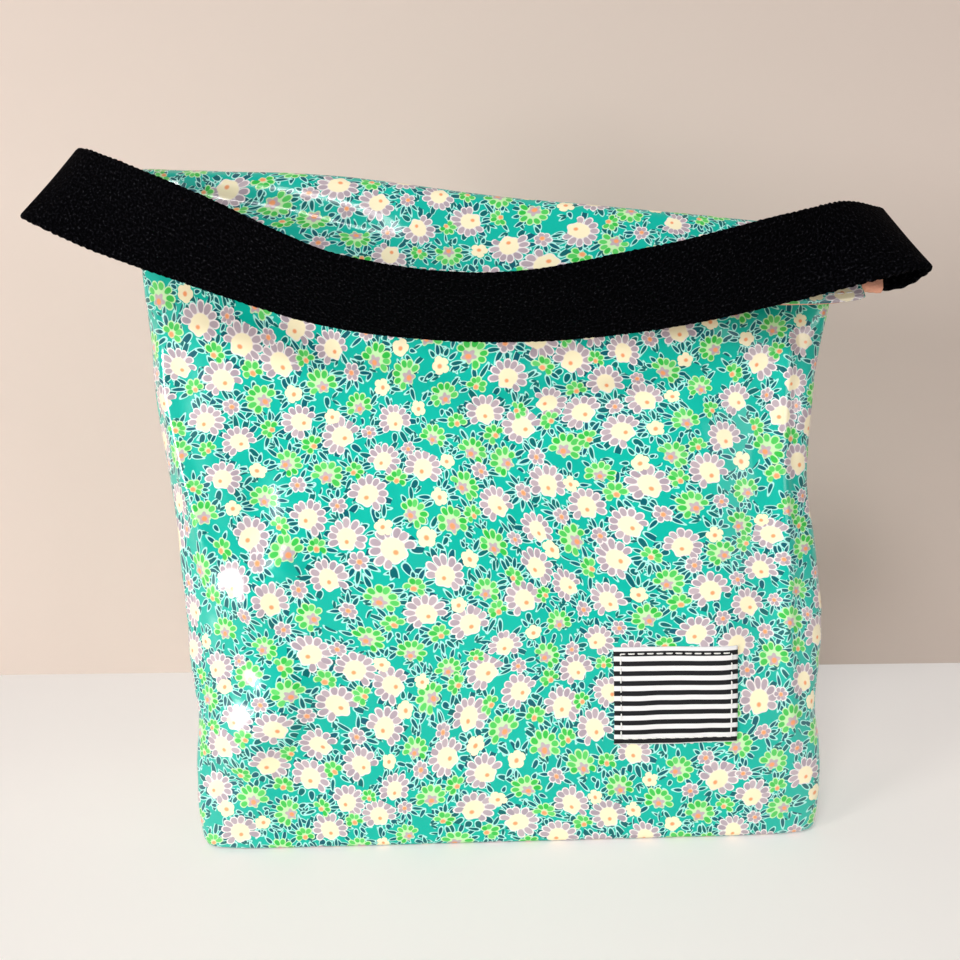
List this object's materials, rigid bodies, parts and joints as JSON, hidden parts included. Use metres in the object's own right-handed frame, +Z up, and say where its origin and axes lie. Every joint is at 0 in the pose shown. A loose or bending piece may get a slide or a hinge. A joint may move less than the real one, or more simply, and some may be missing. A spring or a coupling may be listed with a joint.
{
  "type": "lunch bag",
  "caption": "Soft fold-top lunch bag of laminated floral cloth, with a wide webbing handle sewn to the ends of its folded-over mouth.",
  "frame": {"origin": "centre of the base's underside, on the surface the bag stands on", "axes": "+Z up, front of the bag towards -Y, +X to the right seen from the front"},
  "size_m": [0.3194, 0.0977, 0.2606],
  "materials": {
    "laminated_print": "glossy laminated cotton with a small floral print on teal",
    "lining_cloth": "plain peach cotton",
    "webbing": "thick soft cotton webbing, black, matt",
    "patch_cloth": "black and white striped cotton",
    "thread_white": "white sewing thread",
    "thread_black": "black sewing thread"
  },
  "bodies": {
    "bag": {"front_panel": "laminated_print", "back_panel": "laminated_print", "base_panel": "laminated_print", "front_lining": "lining_cloth", "back_lining": "lining_cloth", "base_lining": "lining_cloth", "patch": "patch_cloth", "patch_stitching": "thread_white", "front_fold": "laminated_print", "front_fold_lining": "lining_cloth", "back_fold": "laminated_print", "back_fold_lining": "lining_cloth"},
    "flap": {"front_lip": "laminated_print", "back_lip": "laminated_print", "front_lip_lining": "lining_cloth", "back_lip_lining": "lining_cloth", "front_mouth_stitching": "thread_white", "back_mouth_stitching": "thread_white", "left_handle_end": "webbing", "right_handle_end": "webbing", "left_handle_tab": "lining_cloth", "right_handle_tab": "lining_cloth", "left_handle_stitching": "thread_black", "right_handle_stitching": "thread_black"},
    "handle": {"handle": "webbing", "left_handle_bend": "webbing", "right_handle_bend": "webbing"}
  },
  "joints": [
    {"name": "flap_fold", "type": "hinge", "parent": "bag", "child": "flap", "pos_m": [-0.0025, -0.0048, 0.234], "axis": [-0.9943, 0, 0.1063], "range_deg": [0, 140], "deforming": ["front_fold", "front_fold_lining", "back_fold", "back_fold_lining"]},
    {"name": "handle_swing", "type": "hinge", "parent": "flap", "child": "handle", "pos_m": [-0.00271, -0.0128, 0.23151], "axis": [-0.9965, 0, 0.0837], "range_deg": [0, 95], "deforming": ["left_handle_bend", "right_handle_bend"]}
  ]
}
